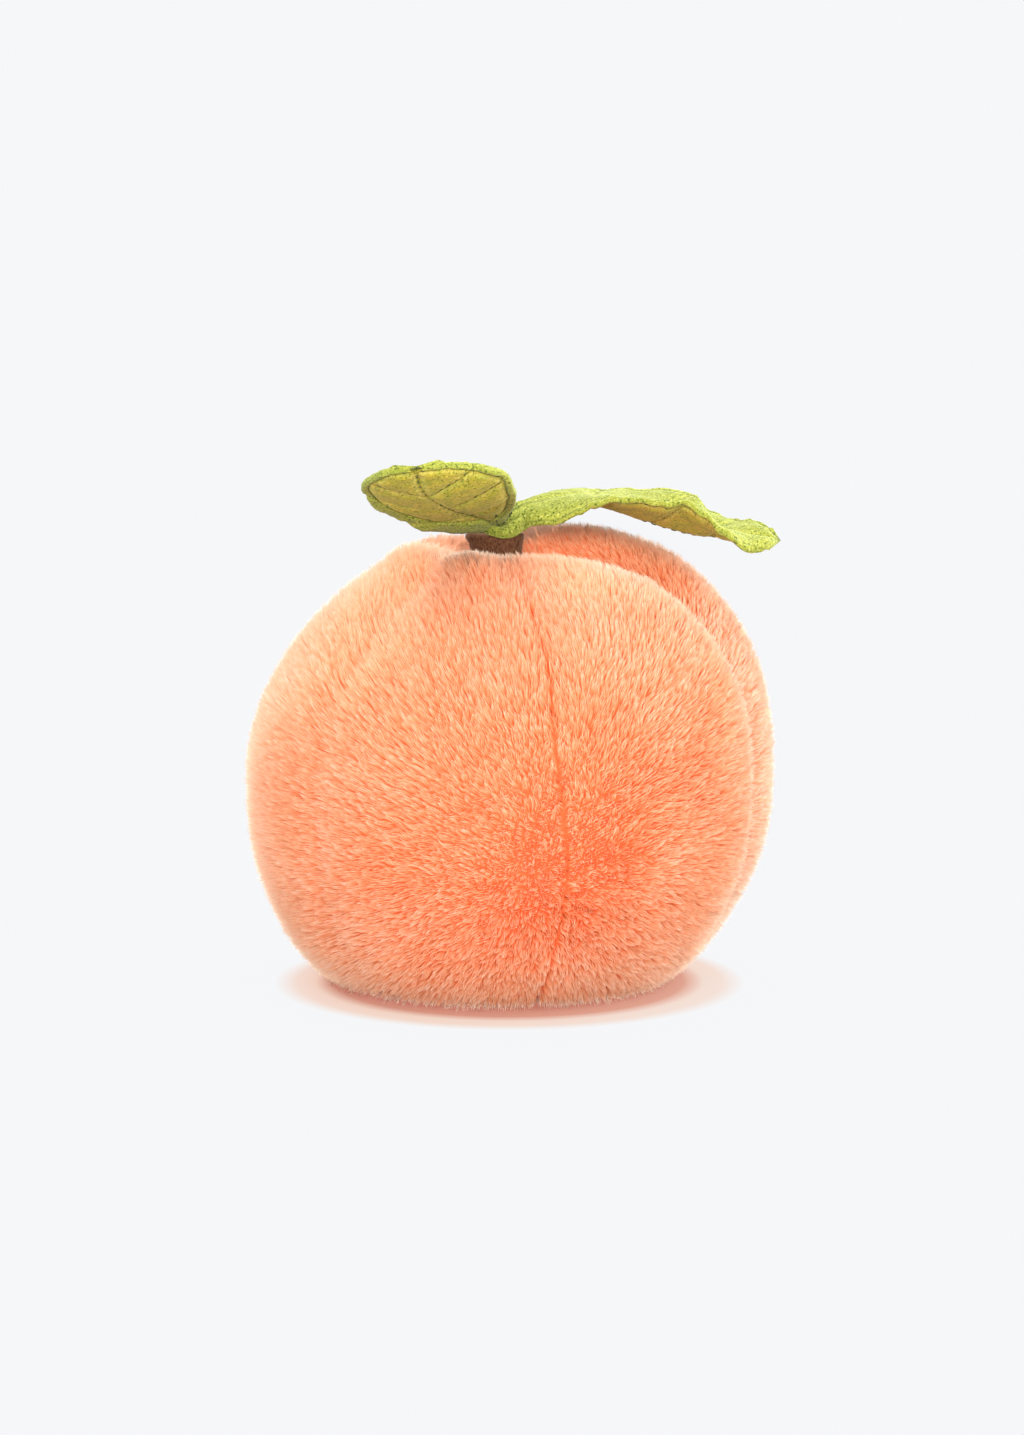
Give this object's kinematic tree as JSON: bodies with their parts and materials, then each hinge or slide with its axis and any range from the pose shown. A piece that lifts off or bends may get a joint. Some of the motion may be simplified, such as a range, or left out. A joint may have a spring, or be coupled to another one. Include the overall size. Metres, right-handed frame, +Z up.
{
  "type": "plush peach soft toy",
  "caption": "Round stuffed soft toy shaped like a peach, in pile fabric with one deep cleft, a short stalk and quilted cloth leaves, which sits on a flattened weighted base.",
  "frame": {"origin": "middle of the footprint, on the surface that the toy sits on", "axes": "+Z up through the stalk, -Y towards the front, where the left leaf points, and +X towards the right leaf's tip"},
  "size_m": [0.1458, 0.1438, 0.1462],
  "materials": {
    "pile_fabric": "soft peach-coloured pile, paler at the tips and deeper orange at the roots",
    "filling": "white polyester fibre",
    "pouch_cloth": "thin matt woven cloth",
    "beans": "loose plastic pellets",
    "stalk_fabric": "short brown brushed pile",
    "leaf_fabric": "matt suede-like cloth, speckled light and dark green",
    "leaf_underside_fabric": "matt suede-like cloth, olive",
    "thread": "dark green sewing thread"
  },
  "bodies": {
    "root": {"fur_panel_1": "pile_fabric", "fur_panel_2": "pile_fabric", "fur_panel_3": "pile_fabric", "fur_panel_4": "pile_fabric", "fur_panel_5": "pile_fabric", "fur_panel_6": "pile_fabric", "stuffing": "filling", "bean_pouch_top": "pouch_cloth", "bean_pouch_bottom": "pouch_cloth", "bean_fill": "beans", "stalk_cover": "stalk_fabric", "stalk_stuffing": "filling", "left_leaf_top": "leaf_fabric", "left_leaf_underside": "leaf_underside_fabric", "left_leaf_wadding": "filling", "left_leaf_needle_thread": "thread", "left_leaf_bobbin_thread": "thread", "right_leaf_top": "leaf_fabric", "right_leaf_underside": "leaf_underside_fabric", "right_leaf_wadding": "filling", "right_leaf_needle_thread": "thread", "right_leaf_bobbin_thread": "thread"}
  },
  "joints": []
}
